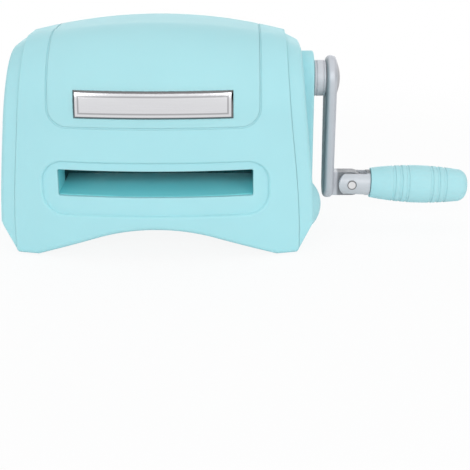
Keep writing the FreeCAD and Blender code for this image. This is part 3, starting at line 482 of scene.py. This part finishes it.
# The rollers' dark teal coat colour is painted shade for the depth of the feed slot.
dress(coat("roller_coat", roller_teal_painted_shade, roller_coat), "upper_roller", "lower_roller")
dress(pin_metal(), "hinge_pin")
sheet = worked_metal("sheet_steel", steel_grey, sheet_lines, roughness=0.34, depth=0.1)
dress(sheet, "left_frame_plate", "right_frame_plate", "upper_sync_gear", "lower_sync_gear", "drive_gear")
dress(sheet, "drive_pinion", "upper_roller_clips", "lower_roller_clips", "crank_clips")
dress(sheet, "cap_screws", "base_screws", "housing_screws", "crank_screw")
brass = worked_metal("bush_brass", brass_yellow, bush_lines, roughness=0.3, depth=0.1)
dress(brass, "roller_bushes", "crank_bushes")
dress(rubber("foot_rubber", rubber_black, foot_rubber), "rubber_feet")


# Studio
def seen(tree):
    """1 for rays that show the surroundings: from the camera, mirrored or passing through. 0 for the rest."""
    path = add(tree, "ShaderNodeLightPath")
    mirrored = combine(tree, "MAXIMUM", path.outputs["Is Camera Ray"], path.outputs["Is Glossy Ray"])
    return combine(tree, "MAXIMUM", mirrored, path.outputs["Is Transmission Ray"])


def mixed(tree, factor, first, second):
    """A shader between two others."""
    node = add(tree, "ShaderNodeMixShader")
    tree.links.new(factor, node.inputs["Fac"])
    tree.links.new(first, node.inputs[1])
    tree.links.new(second, node.inputs[2])
    return node.outputs["Shader"]


def new_plane(name, size, where):
    """A square plane with its name."""
    bpy.ops.mesh.primitive_plane_add(size=size, location=where)
    plane = bpy.context.object
    plane.name = name
    return plane


def matt(shader, finish):
    """Sets how dull a shader is."""
    shader.inputs["Roughness"].default_value = finish.roughness
    shader.inputs["Specular IOR Level"].default_value = finish.specular


def floor():
    """Paper that is seen as white, shows the shadow and fades out further away."""
    plane = new_plane("studio_floor", floor_size, (0.0, 0.0, 0.0))
    material, tree, shader = new_material("floor_paper")
    spot = place(tree, evenly)
    white = shaded(tree, noise(tree, spot, paper.scale, paper.detail), floor_white, paper.shades)
    shown = seen(tree)
    tree.links.new(blend(tree, shown, rgba(floor_grey), white), shader.inputs["Base Color"])
    matt(shader, paper)
    glow = add(tree, "ShaderNodeEmission", Strength=1.0)
    lit = mixed(tree, scaled(tree, shown, floor_glow), shader.outputs["BSDF"], glow.outputs["Emission"])
    away = add(tree, "ShaderNodeVectorMath", operation="LENGTH")
    tree.links.new(spot, away.inputs[0])
    clear = add(tree, "ShaderNodeBsdfTransparent")
    fade = ramp(tree, away.outputs["Value"], floor_near, floor_far)
    faded = mixed(tree, fade, lit, clear.outputs["BSDF"])
    tree.links.new(faded, tree.nodes["Material Output"].inputs["Surface"])
    plane.data.materials.append(material)


def aimed(holder, where, front):
    """Puts an object in its place, with its front axis towards the machine."""
    holder.location = where
    aim = Vector(lamp_target) - Vector(where)
    holder.rotation_euler = aim.to_track_quat(front, "Y").to_euler()


def card(name, where, size):
    """A dark card that only mirror-like surfaces see, for the dark lines in the bright metal."""
    plane = new_plane(name, 1.0, where)
    plane.scale = (*size, 1.0)
    aimed(plane, where, "Z")
    material, tree, shader = new_material(name)
    weave = noise(tree, place(tree, evenly), card_cloth.scale, card_cloth.detail)
    tree.links.new(shaded(tree, weave, card_black, card_cloth.shades), shader.inputs["Base Color"])
    matt(shader, card_cloth)
    plane.data.materials.append(material)
    plane.visible_camera = False
    plane.visible_diffuse = False
    plane.visible_transmission = False
    plane.visible_shadow = False


def world():
    """A white backdrop that is seen and mirrored, and a dimmer light from all round on the rest."""
    surround = bpy.data.worlds.new("studio")
    bpy.context.scene.world = surround
    surround.use_nodes = True
    tree = surround.node_tree
    backdrop = tree.nodes["Background"]
    backdrop.inputs["Color"].default_value = rgba(backdrop_white)
    backdrop.inputs["Strength"].default_value = 1.0
    ambient = add(tree, "ShaderNodeBackground")
    ambient.inputs["Color"].default_value = rgba(ambient_tint)
    ambient.inputs["Strength"].default_value = ambient_light
    shown = mixed(tree, seen(tree), ambient.outputs["Background"], backdrop.outputs["Background"])
    tree.links.new(shown, tree.nodes["World Output"].inputs["Surface"])


def softbox(name, where, size, power):
    """A rectangular lamp that faces the machine, with its power in watts."""
    lamp = bpy.data.lights.new(name, "AREA")
    lamp.shape = "RECTANGLE"
    lamp.size, lamp.size_y = size
    lamp.energy = power
    holder = bpy.data.objects.new(name, lamp)
    aimed(holder, where, "-Z")
    bpy.context.scene.collection.objects.link(holder)


def camera():
    """The camera fitted to the photo, level sideways and tipped down."""
    data = bpy.data.cameras.new("camera")
    data.sensor_width = sensor_width
    data.lens = sensor_width * focal_pixels / photo_width
    holder = bpy.data.objects.new("camera", data)
    holder.location = camera_place
    holder.rotation_euler = (math.radians(90.0 - camera_pitch_deg), 0.0, 0.0)
    bpy.context.scene.collection.objects.link(holder)
    bpy.context.scene.camera = holder


floor()
world()
softbox("key", where=(0.06, -1.48, 0.66), size=(2.6, 0.36), power=12.3)
softbox("right", where=(1.1, -0.9, 0.5), size=(1.2, 1.2), power=0.5)
softbox("top", where=(0.0, 0.2, 2.0), size=(2.4, 2.0), power=5.0)
softbox("rear", where=(0.0, 1.3, 0.3), size=(1.6, 0.8), power=5.0)
card("left_card", where=(-0.9, -0.2, 0.25), size=(0.9, 0.5))
card("right_card", where=(0.9, -0.2, 0.25), size=(0.9, 0.5))
camera()
bpy.context.scene.view_settings.view_transform = "Standard"
